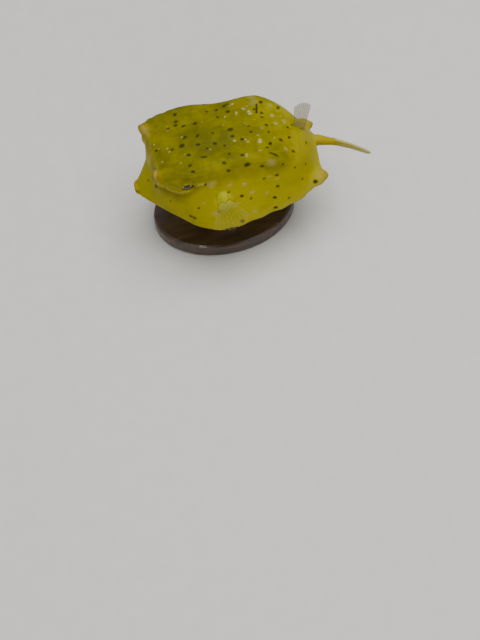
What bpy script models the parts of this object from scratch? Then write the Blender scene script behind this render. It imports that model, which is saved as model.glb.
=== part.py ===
"""A life-size still model of a young longhorn cowfish, one of the boxfishes, on a plain display stand.

The nose points along -X, the fish's left side is at -Y and up is +Z. The floor is at Z = 0, and the
origin is on the floor under the middle of the stand. Places on the fish are given in per cent of the
length of its shell: "station" runs from 0 at the mouth to 100 at the tips of the rear spines, and
heights are counted from the tips of those spines.
"""

import math

import bmesh
import bpy
import numpy as np
from mathutils import Vector

# Driving dimensions, in metres.
SHELL_LENGTH = 0.037
GAP = 0.0003
BASE_LENGTH = 0.028
BASE_WIDTH = 0.020
BASE_THICKNESS = 0.003
BASE_EDGE = 0.0006
ROD_LENGTH = 0.0085
ROD_RADIUS = 0.0012
CUP_RADIUS = ROD_RADIUS * 1.6
CUP_DEPTH = 0.0010
CUP_LIP = 0.0004
FOOT_RADIUS = ROD_RADIUS * 2.2
FOOT_HEIGHT = 0.0012
FOOT_RIM = 0.0005
PER_CENT = SHELL_LENGTH / 100

# Where the stand holds the fish, and where its shell is parted.
ROD_STATION = 46.0
SHELL_END = 97.2
TAIL_ROOT_END = 107.5

# The shell's four lines, as (station, value) in per cent of its length.
BACK_HEIGHT = (
    (0, 9.0), (2.6, 12.6), (4.5, 17.0), (6.5, 22.4), (8.2, 27.2), (9.4, 31.0), (10.6, 33.4), (13, 35.2),
    (16, 36.2), (22, 37.4), (40, 39.5), (53, 39.2), (66, 36.4), (76, 33.0), (84, 29.6), (90, 24.8),
    (94, 18.4), (96.5, 14.8), (99, 13.2),
)
SHOULDER_WIDTH = (
    (0, 2.4), (3, 3.3), (4.5, 4.0), (6.2, 4.9), (8.2, 6.2), (8.8, 7.8), (9.2, 10.0), (9.6, 12.4),
    (10.2, 14.4), (11.4, 16.2), (14, 18.2), (17, 20.0), (20, 21.2), (25, 22.4), (30, 22.6), (36, 22.2),
    (43, 21.0), (50, 20.0), (57, 20.3), (65, 21.3), (71, 21.6), (75, 20.8), (81, 18.6), (86, 15.6),
    (91, 10.8), (95, 5.6), (99, 2.8),
)
SHOULDER_HEIGHT = (
    (0, 8.0), (3, 10.0), (4.5, 12.6), (6.2, 16.2), (8.2, 20.2), (8.8, 22.6), (9.2, 25.4), (9.6, 28.8),
    (10.2, 32.0), (11.4, 34.8), (14, 36.6), (17, 37.4), (20, 37.8), (25, 38.2), (36, 38.4), (50, 37.6),
    (57, 37.2), (65, 36.6), (71, 35.2), (75, 33.2), (81, 29.0), (86, 24.6), (91, 19.6), (95, 14.8),
    (99, 12.6),
)
KEEL_WIDTH = (
    (0, 2.6), (3, 5.4), (6.5, 9.6), (13, 16.4), (19.5, 23.3), (26, 29.8), (32.5, 34.2), (39, 36.2),
    (45, 36.4), (53, 35.4), (60, 33.8), (68, 32.0), (74, 30.6), (81, 28.4), (87, 25.0), (92, 20.6),
    (95, 17.0), (99, 13.0),
)
KEEL_HEIGHT = (
    (0, 3.0), (6.5, 2.8), (13, 2.5), (25, 2.3), (45, 2.3), (60, 2.0), (74, 1.5), (87, 0.5),
    (92, 0.8), (95, 2.0), (99, 3.8),
)
BELLY_HEIGHT = (
    (0, 2.8), (3, 1.2), (7.5, -0.6), (13, -1.7), (21.5, -2.8), (32, -3.8), (43, -4.3), (54, -4.3),
    (64.5, -3.5), (75, -2.2), (83, -0.5), (88.5, 1.6), (92.5, 3.8), (95.5, 6.0), (99, 7.6),
)
GROOVE_DEPTH = ((0, 0.0), (16, 0.2), (34, 0.6), (62, 1.5), (80, 1.2), (92, 0.0), (99, 0.0))
SHOULDER_ROUNDING = 4.4
KEEL_ROUNDING = 1.8
SIDE_HOLLOW = 0.9
KEEL_SCALLOP = 0.35
SCALLOP_PITCH = 11.5

TAIL_SWING = (
    (96, 0.9), (98.5, 0.5), (102.3, -1.1), (107.6, -3.5), (114.3, -7.9), (120.4, -12.8), (128, -19.1),
)
TAIL_HEIGHT = 11.0
TAIL_CLIMB = 0.02
STALK_SIDES = 20
STALK_START = (2.9, 3.3)
STALK_END = (1.6, 2.4)
TAIL_FIN_END = 123.5
TAIL_FIN_ROOT = 4.8
TAIL_FIN_TIP = 3.2
TAIL_FIN_ROUNDING = 0.16

# Head.
HEAD_STATIONS = (
    2.6, 3.4, 4.4, 5.4, 6.4, 7.4, 8.2, 8.7, 9.1, 9.5, 9.9, 10.5, 11.4, 12.6, 14.2, 16.4, 19.2, 22.2, 25.2,
    28.0, 30.8, 33.5,
)
EYE_CENTRE = (24.6, 18.3, 29.6)
EYE_RADIUS = 4.5
LID_RADIUS = 6.0
LID_OPENING_CENTRE = (24.8, 24.0, 29.6)
LID_OPENING = (3.9, 2.6, 2.9)
BROW_CENTRE = (21.5, 17.9, 32.9)
BROW = (8.4, 5.1, 4.0)
HORN_PATH = (
    (19.5, 16.2, 32.8), (15.5, 15.6, 33.0), (12.4, 15.2, 33.5), (10.0, 15.4, 34.9), (8.1, 15.9, 36.6),
)
HORN_RADII = (5.4, 5.5, 5.0, 3.4, 1.1)
HORN_FOOT_CENTRE = (12.5, 13.2, 29.0)
HORN_FOOT = (4.2, 3.4, 6.0)
SPINE_PATH = (
    (81.0, 19.0, 4.0), (87.0, 18.0, 3.2), (93.0, 16.9, 2.6), (97.2, 16.2, 2.5), (99.7, 17.5, 2.2),
)
SPINE_RADII = (2.6, 3.6, 4.2, 3.2, 0.9)
HORN_PARTING = 0.30
SPINE_PARTING = 0.55
NOSTRIL_PLACE = (13.6, 16.3, 29.6)
NOSTRIL_RADIUS = 0.8
MOUTH_HEIGHT = 5.3
UPPER_LIP = (2.2, 3.4, 1.6)
LOWER_LIP = (2.0, 3.1, 1.4)
LIP_FRONT = 1.9

# Fins.
GILL_PLACE = (38.4, 28.6, 19.0)
GILL_SLIT = (0.5, 2.2, 4.2)
GILL_LEAN = math.radians(16)
ARM_FIN = dict(
    place=(42.4, 29.4, 18.4), outward=(0.05, 0.60, -0.80), along=(1.0, 0.0, 0.0), half_root=0.0010,
    spread=(-30, 40), length=0.0058, rays=9, bulge=(0.0, 0.0, 0.0003),
)
BACK_FIN = dict(
    place=(89.5, 0.2, 25.0), outward=(0.24, 0.42, 0.87), along=(0.80, 0.0, -0.60), half_root=0.0012,
    spread=(-6, 9), length=0.0056, rays=8, bulge=(0.0, 0.0002, 0.0),
)
BELLY_FIN = dict(
    place=(88.0, 0.0, 2.4), outward=(0.50, 0.08, -0.86), along=(0.94, 0.0, 0.34), half_root=0.0013,
    spread=(-30, 34), length=0.0034, rays=8, bulge=(0.0, 0.0002, 0.0),
)
TAIL_FIN_RAYS = 9
TAIL_FIN_ROWS = 9
FIN_SCALLOP = 0.02
FIN_CORNER = 0.80
ARM_PLACE = (42.2, 27.6, 19.6)
ARM_LOBE = (2.6, 2.6, 3.6)
MEMBRANE_HALF = 0.00025
RAY_RISE = 0.00012
EDGE_HALF = 0.00018

YELLOW = (0.48, 0.36, 0.012)
FIN_YELLOW = (0.62, 0.52, 0.10)
HORN_YELLOW = (0.60, 0.36, 0.03)
EYE_DARK = (0.03, 0.03, 0.015)
WOOD = (0.045, 0.022, 0.012)
STEEL = (0.55, 0.55, 0.56)

FISH_RISE = BASE_THICKNESS + ROD_LENGTH + GAP - BELLY_HEIGHT[7][1] * PER_CENT


def clear_scene():
    for thing in list(bpy.data.objects):
        bpy.data.objects.remove(thing, do_unlink=True)


def collection(name):
    made = bpy.data.collections.new(name)
    bpy.context.scene.collection.children.link(made)
    return made


def material(name, colour, roughness, metallic=0.0):
    made = bpy.data.materials.new(name)
    made.use_nodes = True
    shader = made.node_tree.nodes["Principled BSDF"]
    shader.inputs["Base Color"].default_value = (*colour, 1.0)
    shader.inputs["Roughness"].default_value = roughness
    shader.inputs["Metallic"].default_value = metallic
    return made


def smooth_curve(knots):
    """A function through (station, value) knots that doesn't overshoot between them: a monotone cubic."""
    at, value = np.array(knots, float).T
    step = np.diff(at)
    slope = np.diff(value) / step
    tangent = np.concatenate([slope[:1], np.zeros(len(at) - 2), slope[-1:]])
    same_way = slope[:-1] * slope[1:] > 0
    both = np.where(same_way, slope[:-1] + slope[1:], 1.0)
    tangent[1:-1] = np.where(same_way, 2 * slope[:-1] * slope[1:] / both, 0.0)

    def curve(station):
        station = min(max(station, at[0]), at[-1])
        i = min(max(int(np.searchsorted(at, station)) - 1, 0), len(step) - 1)
        t = (station - at[i]) / step[i]
        start = (1 + 2 * t) * (1 - t) ** 2 * value[i] + t * (1 - t) ** 2 * step[i] * tangent[i]
        end = t * t * (3 - 2 * t) * value[i + 1] - t * t * (1 - t) * step[i] * tangent[i + 1]
        return float(start + end)

    return curve


back_height = smooth_curve(BACK_HEIGHT)
shoulder_width = smooth_curve(SHOULDER_WIDTH)
shoulder_height = smooth_curve(SHOULDER_HEIGHT)
keel_width = smooth_curve(KEEL_WIDTH)
keel_height = smooth_curve(KEEL_HEIGHT)
belly_height = smooth_curve(BELLY_HEIGHT)
groove_depth = smooth_curve(GROOVE_DEPTH)
tail_swing = smooth_curve(TAIL_SWING)


def place(station, across, height):
    """A point of the fish, given in per cent, in metres in the world. Across is negative on its left."""
    return Vector((
        (station - ROD_STATION) * PER_CENT,
        across * PER_CENT,
        FISH_RISE + height * PER_CENT,
    ))


def mirrored(point, side):
    return (point[0], point[1] * side, point[2])


def bend_between(start, corner, end, count):
    """Points on the quadratic curve that rounds a corner, without its ends."""
    found = []
    for t in np.linspace(0, 1, count + 2)[1:-1]:
        found.append((1 - t) ** 2 * start + 2 * t * (1 - t) * corner + t * t * end)
    return found


def half_section(station):
    """The shell's outline on one side at a station, as (across, height) from its back to its belly."""
    back, belly = back_height(station), belly_height(station)
    shoulder = np.array([shoulder_width(station), shoulder_height(station)])
    scallop = KEEL_SCALLOP * math.sin(2 * math.pi * station / SCALLOP_PITCH)
    keel = np.array([keel_width(station) + scallop * min(1.0, station / 40), keel_height(station)])
    groove = groove_depth(station)
    length = float(np.linalg.norm(keel - shoulder)) + 1e-6
    inward = np.array([keel[1] - shoulder[1], shoulder[0] - keel[0]]) / length
    hollow = SIDE_HOLLOW * min(1.0, length / 30)

    def top(t):
        height = back + (shoulder[1] - back) * t * t - groove * math.sin(math.pi * t) ** 2
        return np.array([shoulder[0] * t, height])

    def side(t):
        return shoulder + (keel - shoulder) * t + inward * hollow * math.sin(math.pi * t) ** 2

    def under(t):
        return np.array([keel[0] * (1 - t), belly + (keel[1] - belly) * (1 - t) ** 2.4])

    over = min(0.4, SHOULDER_ROUNDING / (shoulder[0] + 1e-6))
    along = min(0.3, SHOULDER_ROUNDING / length)
    low = min(0.3, KEEL_ROUNDING / length)
    beneath = min(0.4, KEEL_ROUNDING / (keel[0] + 1e-6))
    points = [top(t) for t in np.linspace(0, 1 - over, 6)]
    points += bend_between(points[-1], shoulder, side(along), 2)
    points += [side(t) for t in np.linspace(along, 1 - low, 6)]
    points += bend_between(points[-1], keel, under(beneath), 2)
    points += [under(t) for t in np.linspace(beneath, 1, 6)]
    return points


def shell_ring(station, shrink=1.0):
    """The shell's whole outline at a station, as world points, drawn in towards its middle by shrink."""
    half = half_section(station)
    middle = (back_height(station) + belly_height(station)) / 2
    ring = half + [np.array([-p[0], p[1]]) for p in half[-2:0:-1]]
    return [place(station, p[0] * shrink, middle + (p[1] - middle) * shrink) for p in ring]


def finish_mesh(name, work, look, group):
    """Makes an object of a bmesh, with its faces pointing out and its edges shaded smooth."""
    work.normal_update()
    bmesh.ops.recalc_face_normals(work, faces=work.faces)
    mesh = bpy.data.meshes.new(name)
    work.to_mesh(mesh)
    work.free()
    mesh.materials.append(look)
    mesh.shade_smooth()
    mesh.set_sharp_from_angle(angle=math.radians(40))
    made = bpy.data.objects.new(name, mesh)
    group.objects.link(made)
    return made


def loft(name, rings, look, group):
    """A closed skin over rings of equally many points, with a flat cap at each end."""
    work = bmesh.new()
    rows = [[work.verts.new(p) for p in ring] for ring in rings]
    count = len(rows[0])
    for row, after in zip(rows, rows[1:]):
        for i in range(count):
            j = (i + 1) % count
            work.faces.new((row[i], row[j], after[j], after[i]))
    for row in (rows[0], rows[-1]):
        work.faces.new(row)
    return finish_mesh(name, work, look, group)


def ball(name, centre, half_sizes, look, group, segments=16, rings=10, turn=0.0):
    """An ellipsoid of a sphere's mesh, its poles across the fish, turned about the fish's long axis."""
    bpy.ops.mesh.primitive_uv_sphere_add(segments=segments, ring_count=rings, radius=1.0)
    made = bpy.context.active_object
    made.name = name
    move_to(made, group)
    spin = Vector((0, 0, 1)).rotation_difference(Vector((0, 1, 0))).to_matrix()
    lean = turn_about_length(turn)
    for vertex in made.data.vertices:
        co = spin @ vertex.co
        stretched = Vector((co.x * half_sizes[0], co.y * half_sizes[1], co.z * half_sizes[2]))
        vertex.co = place(*centre) + (lean @ stretched) * PER_CENT
    made.data.materials.append(look)
    made.data.shade_smooth()
    return made


def turn_about_length(angle):
    from_up = Vector((0, 0, 1))
    to = Vector((0, math.sin(angle), math.cos(angle)))
    return from_up.rotation_difference(to).to_matrix()


def move_to(thing, group):
    for held in list(thing.users_collection):
        held.objects.unlink(thing)
    group.objects.link(thing)


def tapered_rod(name, path, radii, look, group, side=1):
    """A round, tapering rod along a path, from a bevelled curve with a radius at each point."""
    curve = bpy.data.curves.new(name, "CURVE")
    curve.dimensions = "3D"
    curve.bevel_depth = PER_CENT
    curve.bevel_resolution = 3
    curve.use_fill_caps = True
    curve.resolution_u = 3
    spline = curve.splines.new("NURBS")
    spline.points.add(len(path) - 1)
    for point, at, radius in zip(spline.points, path, radii):
        point.co = (*place(*mirrored(at, side)), 1.0)
        point.radius = radius
    spline.use_endpoint_u = True
    spline.order_u = 3
    return as_mesh(name, bpy.data.objects.new(name, curve), look, group)


def as_mesh(name, thing, look, group):
    """Turns a curve object into a closed mesh object and removes the curve."""
    group.objects.link(thing)
    bpy.context.view_layer.update()
    mesh = bpy.data.meshes.new_from_object(thing.evaluated_get(bpy.context.evaluated_depsgraph_get()))
    bpy.data.objects.remove(thing, do_unlink=True)
    work = bmesh.new()
    work.from_mesh(mesh)
    bmesh.ops.remove_doubles(work, verts=work.verts, dist=1e-6)
    return finish_mesh(name, work, look, group)


def cut(body, others, operation="DIFFERENCE", solver="EXACT"):
    """Joins others to a body, or cuts them from it, and removes them."""
    holder = bpy.data.collections.new("working")
    bpy.context.scene.collection.children.link(holder)
    for other in others:
        move_to(other, holder)
    step = body.modifiers.new("shape", "BOOLEAN")
    step.operation = operation
    step.solver = solver
    step.operand_type = "COLLECTION"
    step.collection = holder
    bpy.context.view_layer.update()
    mesh = bpy.data.meshes.new_from_object(body.evaluated_get(bpy.context.evaluated_depsgraph_get()))
    body.modifiers.clear()
    body.data = mesh
    for other in others:
        bpy.data.objects.remove(other, do_unlink=True)
    bpy.data.collections.remove(holder)
    keep_largest(body)


def keep_largest(body):
    """Leaves a body only its largest closed surface."""
    work = bmesh.new()
    work.from_mesh(body.data)
    bmesh.ops.remove_doubles(work, verts=work.verts, dist=2e-7)
    unseen, pieces = set(work.faces), []
    while unseen:
        front = [unseen.pop()]
        piece = set(front)
        while front:
            face = front.pop()
            for edge in face.edges:
                for near in edge.link_faces:
                    if near in unseen:
                        unseen.remove(near)
                        piece.add(near)
                        front.append(near)
        pieces.append(piece)
    pieces.sort(key=lambda piece: sum(face.calc_area() for face in piece))
    loose = [face for piece in pieces[:-1] for face in piece]
    bmesh.ops.delete(work, geom=loose, context="FACES")
    work.to_mesh(body.data)
    work.free()


def clearance_copy(body, group):
    """A copy of a body grown by the gap that touching pieces keep, to cut a neighbour's root with."""
    work = bmesh.new()
    work.from_mesh(body.data)
    work.normal_update()
    grown = [(vertex, vertex.co + vertex.normal * GAP * vertex.calc_shell_factor()) for vertex in work.verts]
    for vertex, at in grown:
        vertex.co = at
    return finish_mesh(body.name + "_room", work, body.data.materials[0], group)


def shell_piece(name, stations, look, group, close_front=False):
    rings = []
    if close_front:
        rings = [shell_ring(stations[0], shrink) for shrink in (0.45, 0.8)]
        for ring, back in zip(rings, (0.7, 0.25)):
            for point in ring:
                point.x -= back * PER_CENT
    rings += [shell_ring(station) for station in stations]
    return loft(name, rings, look, group)


def make_head(look, horny, group):
    """The front of the shell, with lids that open in an oval before each eye, and the nostrils."""
    head = shell_piece("head", HEAD_STATIONS, look, group, close_front=True)
    rims, hollows = [], []
    for label, side in (("left", -1), ("right", 1)):
        root, room = grow_from("horn_" + label, HORN_PATH, HORN_RADII, HORN_PARTING, horny, group, side)
        rims.append(root)
        hollows.append(room)
        eye = mirrored(EYE_CENTRE, side)
        rims.append(ball("lid", eye, (LID_RADIUS,) * 3, look, group, 28, 18))
        rims.append(ball("brow", mirrored(BROW_CENTRE, side), BROW, look, group, 20, 12))
        rims.append(ball("foot", mirrored(HORN_FOOT_CENTRE, side), HORN_FOOT, look, group, 20, 12))
    cut(head, rims, "UNION")
    for side in (-1, 1):
        room = EYE_RADIUS + GAP / PER_CENT
        eye = mirrored(EYE_CENTRE, side)
        hollows.append(ball("socket", eye, (room, room, room), look, group, 24, 16))
        hollows.append(ball("opening", mirrored(LID_OPENING_CENTRE, side), LID_OPENING, look, group, 24, 12))
        nostril = mirrored(NOSTRIL_PLACE, side)
        hollows.append(ball("nostril", nostril, (NOSTRIL_RADIUS,) * 3, look, group, 10, 6))
    cut(head, hollows)
    return head


def make_trunk(look, horny, group):
    """The rest of the shell, with the fleshy root of each arm fin and the gill slit before it."""
    first = HEAD_STATIONS[-1] + GAP / PER_CENT
    stations = np.concatenate([np.linspace(first, 85, 24), np.linspace(87, SHELL_END, 10)])
    trunk = shell_piece("trunk", stations, look, group)
    grown = [ball("lobe", mirrored(ARM_PLACE, side), ARM_LOBE, look, group, 14, 8) for side in (-1, 1)]
    slits = []
    for label, side in (("left", -1), ("right", 1)):
        root, room = grow_from("spine_" + label, SPINE_PATH, SPINE_RADII, SPINE_PARTING, horny, group, side)
        grown.append(root)
        slits.append(room)
    cut(trunk, grown, "UNION")
    for side in (-1, 1):
        place_of_slit = mirrored(GILL_PLACE, side)
        slits.append(ball("slit", place_of_slit, GILL_SLIT, look, group, 12, 8, -side * GILL_LEAN))
    cut(trunk, slits)
    return trunk


def make_lips(room, look, group):
    """Two fleshy lips round the small mouth, with its slit open between them."""
    for name, sizes, way in (("upper_lip", UPPER_LIP, 1), ("lower_lip", LOWER_LIP, -1)):
        height = MOUTH_HEIGHT + way * (GAP / PER_CENT / 2 + sizes[2])
        lip = ball(name, (LIP_FRONT, 0, height), sizes, look, group, 16, 10)
        cut(lip, [copy_of(room)])


def copy_of(thing):
    made = thing.copy()
    made.data = thing.data.copy()
    bpy.context.scene.collection.objects.link(made)
    return made


def membrane(name, root, tips, bulge, look, group, rays, rows=5, half=MEMBRANE_HALF):
    """A fan of rays from a root line to a curved line of tips, its rays raised on both faces.

    root and tips are functions of the share along the fan that give world points, and bulge is how far
    the middle of the fan stands out of the plane through them.
    """
    columns = 2 * rays + 1
    shares = [(i / (columns - 1), i % 2) for i in range(columns)]
    steps = np.linspace(0, 1, rows)

    def at(share, step):
        start, end = root(share), tips(share)
        return start.lerp(end, step) + bulge * math.sin(math.pi * step) * math.sin(math.pi * share)

    work = bmesh.new()
    faces = {1: [], -1: []}
    for share, on_ray in shares:
        columns_of = {1: [], -1: []}
        for step in steps:
            here = at(share, step)
            along = at(share, min(step + 0.02, 1)) - at(share, max(step - 0.02, 0))
            across = at(min(share + 0.02, 1), step) - at(max(share - 0.02, 0), step)
            normal = along.cross(across).normalized()
            thick = half + (EDGE_HALF - half) * step + RAY_RISE * on_ray * (1 - 0.4 * step)
            for way in (1, -1):
                columns_of[way].append(work.verts.new(here + normal * thick * way))
        for way in (1, -1):
            faces[way].append(columns_of[way])
    for way in (1, -1):
        grid = faces[way]
        for c in range(columns - 1):
            for r in range(rows - 1):
                a, b, d, e = grid[c][r], grid[c + 1][r], grid[c + 1][r + 1], grid[c][r + 1]
                work.faces.new((a, b, d))
                work.faces.new((a, d, e))
    rim = [(c, 0) for c in range(columns)] + [(columns - 1, r) for r in range(1, rows)]
    rim += [(c, rows - 1) for c in range(columns - 2, -1, -1)] + [(0, r) for r in range(rows - 2, 0, -1)]
    for (c, r), (c2, r2) in zip(rim, rim[1:] + rim[:1]):
        a, b = faces[1][c][r], faces[1][c2][r2]
        d, e = faces[-1][c2][r2], faces[-1][c][r]
        work.faces.new((a, b, d))
        work.faces.new((a, d, e))
    return finish_mesh(name, work, look, group)


def fan_fin(name, sizes, side, rooms, look, group):
    """A fan fin by its named sizes, its root cleared of the neighbours whose rooms are given."""
    centre = place(*mirrored(sizes["place"], side))
    outward = Vector(mirrored(sizes["outward"], side)).normalized()
    along = Vector(mirrored(sizes["along"], side))
    along = (along - outward * along.dot(outward)).normalized()
    first, last = sizes["spread"]

    def root(share):
        return centre + along * sizes["half_root"] * (2 * share - 1)

    def tips(share):
        angle = math.radians(first + (last - first) * share)
        way = along * math.sin(angle) + outward * math.cos(angle)
        rounded = FIN_CORNER + (1 - FIN_CORNER) * math.sin(math.pi * (0.12 + 0.76 * share))
        notch = 1 - FIN_SCALLOP * math.cos(2 * math.pi * sizes["rays"] * share)
        return root(share) + way * sizes["length"] * rounded * notch

    bulge = Vector(mirrored(sizes["bulge"], side))
    fin = membrane(name, root, tips, bulge, look, group, sizes["rays"])
    cut(fin, rooms)


def make_fins(room, look, group):
    """The two pectoral fins, and the soft dorsal and anal fins above and below the root of the tail."""
    for name, side in (("pectoral_fin_left", -1), ("pectoral_fin_right", 1)):
        grown = tuple(half + GAP / PER_CENT for half in ARM_LOBE)
        lobe_room = ball("lobe_room", mirrored(ARM_PLACE, side), grown, look, group, 14, 8)
        fan_fin(name, ARM_FIN, side, [copy_of(room), lobe_room], look, group)
    fan_fin("dorsal_fin", BACK_FIN, 1, [copy_of(room)], look, group)
    fan_fin("anal_fin", BELLY_FIN, 1, [copy_of(room)], look, group)


def tail_line(station):
    """How far across and how high the tail's middle line lies: it swings to the fish's left."""
    return tail_swing(station), TAIL_HEIGHT + TAIL_CLIMB * (station - SHELL_END)


def tail_frame(station):
    """The middle of the tail at a station, with the way it runs and the way across it."""
    across, height = tail_line(station)
    before, ahead = tail_line(station - 0.2), tail_line(station + 0.2)
    way = (place(station + 0.2, *ahead) - place(station - 0.2, *before)).normalized()
    return place(station, across, height), way, Vector((0, 0, 1)).cross(way).normalized()


def make_tail_root(look, group):
    """The bare stalk of the tail, from its opening in the shell to the tail fin."""
    first = SHELL_END + GAP / PER_CENT
    rings = []
    for station in np.linspace(first, TAIL_ROOT_END, 9):
        share = (station - first) / (TAIL_ROOT_END - first)
        middle, way, across = tail_frame(station)
        if station == first:
            across = Vector((0, 1, 0))
        wide = (STALK_END[0] + (STALK_START[0] - STALK_END[0]) * (1 - share) ** 1.3) * PER_CENT
        tall = (STALK_END[1] + (STALK_START[1] - STALK_END[1]) * (1 - share) ** 1.3) * PER_CENT
        turns = [2 * math.pi * i / STALK_SIDES for i in range(STALK_SIDES)]
        ring = [across * wide * math.sin(turn) + Vector((0, 0, tall * math.cos(turn))) for turn in turns]
        rings.append([middle + point for point in ring])
    for point in rings[0]:
        point.x = place(first, 0, 0).x
    return loft("tail_root", rings, look, group)


def make_tail_fin(look, group):
    """The tail fin, closed to a narrow brush that swings with the stalk."""
    first = TAIL_ROOT_END + GAP / PER_CENT

    def root(share):
        middle, _, _ = tail_frame(first)
        return middle + Vector((0, 0, (share - 0.5) * TAIL_FIN_ROOT * PER_CENT))

    def tips(share):
        rounded = 1 - TAIL_FIN_ROUNDING * (2 * share - 1) ** 2
        middle, _, _ = tail_frame(first + (TAIL_FIN_END - first) * rounded)
        return middle + Vector((0, 0, (share - 0.5) * TAIL_FIN_TIP * PER_CENT))

    fin = membrane("tail_fin", root, tips, Vector((0, 0, 0)), look, group, TAIL_FIN_RAYS, TAIL_FIN_ROWS)
    bend_tail(fin, first, TAIL_FIN_END)


def bend_tail(fin, first, last):
    """Lays the straight fan of the tail fin along the tail's curved line."""
    start, _, _ = tail_frame(first)
    end, _, _ = tail_frame(last)
    for vertex in fin.data.vertices:
        share = min(max((vertex.co.x - start.x) / (end.x - start.x), 0), 1.1)
        station = first + (last - first) * share
        straight = start.y + (end.y - start.y) * share
        vertex.co.y += tail_frame(station)[0].y - straight


def make_stand(look, rod_look, group):
    """A flat oval base with a rounded edge, and one short turned rod up to the belly."""
    bpy.ops.mesh.primitive_cylinder_add(
        vertices=48, radius=0.5, depth=BASE_THICKNESS, location=(0, 0, BASE_THICKNESS / 2)
    )
    base = bpy.context.active_object
    base.name = "stand_base"
    base.data.transform(base.matrix_world)
    base.matrix_world.identity()
    for vertex in base.data.vertices:
        vertex.co.x *= BASE_LENGTH
        vertex.co.y *= BASE_WIDTH
    edge = base.modifiers.new("edge", "BEVEL")
    edge.width = BASE_EDGE
    edge.segments = 2
    edge.limit_method = "ANGLE"
    edge.angle_limit = math.radians(50)
    base.data.materials.append(look)
    move_to(base, group)

    bottom = BASE_THICKNESS + GAP
    top = bottom + ROD_LENGTH - GAP
    profile = (
        (0.0, top), (CUP_RADIUS * 0.94, top), (CUP_RADIUS, top - CUP_LIP), (ROD_RADIUS, top - CUP_DEPTH),
        (ROD_RADIUS, bottom + FOOT_HEIGHT), (FOOT_RADIUS, bottom + FOOT_RIM), (FOOT_RADIUS, bottom),
        (0.0, bottom),
    )
    work = bmesh.new()
    corners = [work.verts.new((across, 0, height)) for across, height in profile]
    for a, b in zip(corners, corners[1:]):
        work.edges.new((a, b))
    bmesh.ops.spin(
        work, geom=list(work.verts) + list(work.edges), cent=(0, 0, 0), axis=(0, 0, 1),
        angle=2 * math.pi, steps=28, use_merge=True,
    )
    bmesh.ops.remove_doubles(work, verts=work.verts, dist=1e-7)
    finish_mesh("stand_rod", work, rod_look, group)


def make_eyes(look, group):
    for name, side in (("eye_left", -1), ("eye_right", 1)):
        ball(name, mirrored(EYE_CENTRE, side), (EYE_RADIUS,) * 3, look, group, 20, 14)


def half_space(point, way, look, group):
    """A large block that fills everything beyond a plane through a point, on the side that way points to."""
    size = 0.03
    work = bmesh.new()
    bmesh.ops.create_cube(work, size=size)
    turn = Vector((0, 0, 1)).rotation_difference(way).to_matrix()
    for vertex in work.verts:
        vertex.co = turn @ vertex.co + point + way * size / 2
    return finish_mesh("beyond", work, look, group)


def grow_from(name, path, radii, share, look, group, side):
    """Makes a tapering rod's free end a node of its own.

    It returns the rod's root, which a body takes in, and the room round the free end, which is cut from
    that body so that the gap stays open. share says where the rod is parted between its second and third
    places.
    """
    start, end = Vector(place(*mirrored(path[1], side))), Vector(place(*mirrored(path[2], side)))
    way = (end - start).normalized()
    parting = start.lerp(end, share)
    root = tapered_rod("root", path, radii, look, group, side)
    cut(root, [half_space(parting, way, look, group)])
    free = tapered_rod(name, path, radii, look, group, side)
    cut(free, [half_space(parting + way * GAP, -way, look, group)])
    wider = [radius + GAP / PER_CENT for radius in radii]
    room = tapered_rod("room", path, wider, look, group, side)
    cut(room, [half_space(parting + way * GAP * 0.1, -way, look, group)])
    return root, room


def build():
    clear_scene()
    fish = collection("young_cowfish")
    rooms = collection("rooms")
    skin = material("skin", YELLOW, 0.42)
    horny = material("horn", HORN_YELLOW, 0.45)
    fin = material("fin", FIN_YELLOW, 0.35)
    eye = material("eye", EYE_DARK, 0.08)

    make_head(skin, horny, fish)
    make_trunk(skin, horny, fish)
    whole = np.concatenate([HEAD_STATIONS, np.linspace(36, 85, 20), np.linspace(87, SHELL_END, 10)])
    shell = shell_piece("shell", whole, skin, rooms, close_front=True)
    shell_room = clearance_copy(shell, rooms)
    make_lips(shell_room, skin, fish)
    make_eyes(eye, fish)
    make_fins(shell_room, fin, fish)
    make_tail_root(skin, fish)
    make_tail_fin(fin, fish)
    make_stand(material("stand_wood", WOOD, 0.4), material("stand_rod", STEEL, 0.3, 1.0), fish)
    for room in list(rooms.objects):
        bpy.data.objects.remove(room, do_unlink=True)
    bpy.data.collections.remove(rooms)


build()
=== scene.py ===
# %% [markdown]
# # A young cowfish on its stand
#
# The scene dresses the solid model of a small horned boxfish so that it looks like the living
# animal.

import math

import bmesh
import bpy
import numpy as np
from mathutils import Matrix, Vector
from mathutils.bvhtree import BVHTree
from mathutils.kdtree import KDTree


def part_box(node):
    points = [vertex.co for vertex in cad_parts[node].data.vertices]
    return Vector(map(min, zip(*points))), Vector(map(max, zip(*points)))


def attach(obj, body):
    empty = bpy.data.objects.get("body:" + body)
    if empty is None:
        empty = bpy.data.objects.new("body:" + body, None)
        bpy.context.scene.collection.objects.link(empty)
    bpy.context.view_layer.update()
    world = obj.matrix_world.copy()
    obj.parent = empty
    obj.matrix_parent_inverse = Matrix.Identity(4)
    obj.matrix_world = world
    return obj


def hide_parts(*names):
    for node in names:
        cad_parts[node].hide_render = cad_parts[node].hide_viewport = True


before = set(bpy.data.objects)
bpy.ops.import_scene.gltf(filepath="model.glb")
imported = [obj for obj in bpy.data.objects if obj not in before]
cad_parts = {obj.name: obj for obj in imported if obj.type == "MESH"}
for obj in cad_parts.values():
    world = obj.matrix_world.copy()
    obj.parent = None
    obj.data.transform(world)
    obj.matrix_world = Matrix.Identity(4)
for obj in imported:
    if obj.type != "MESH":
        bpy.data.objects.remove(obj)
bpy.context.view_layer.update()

# %% [markdown]
# Places on a fish are easiest to give as shares of its own length. The shell, from the mouth to
# the tips of the rear spines, is 100 long. A place is a station from the mouth towards the tail,
# a distance across (negative on the fish's left) and a height above the tips of the rear spines.

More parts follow.
